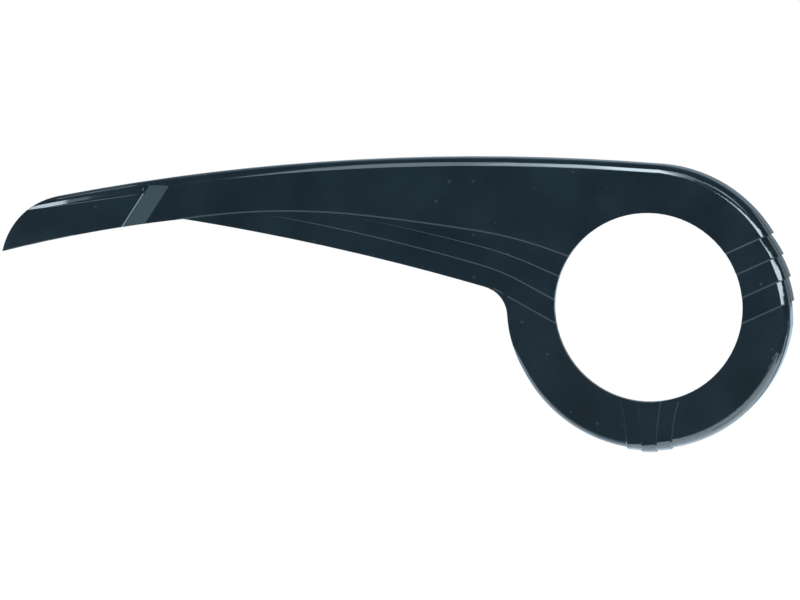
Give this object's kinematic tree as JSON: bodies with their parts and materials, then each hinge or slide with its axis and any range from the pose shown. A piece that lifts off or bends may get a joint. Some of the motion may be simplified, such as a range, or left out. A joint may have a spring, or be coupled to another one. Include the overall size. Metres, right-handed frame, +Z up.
{
  "type": "bicycle chain guard",
  "caption": "Moulded plastic bicycle chain guard: a ring round the chainring with an open centre for the crank, and a long curved arm over the top run of the chain.",
  "frame": {"origin": "on the crank axis, in the plane of the rear rim and the faces of the screw bosses", "axes": "+X forward along the bicycle, +Y towards the frame (the rear, open side), +Z up"},
  "size_m": [0.5788, 0.0272, 0.21],
  "materials": {
    "guard_shell": "polished black injection-moulded plastic"
  },
  "bodies": {
    "root": {"chain_guard": "guard_shell"}
  },
  "joints": []
}
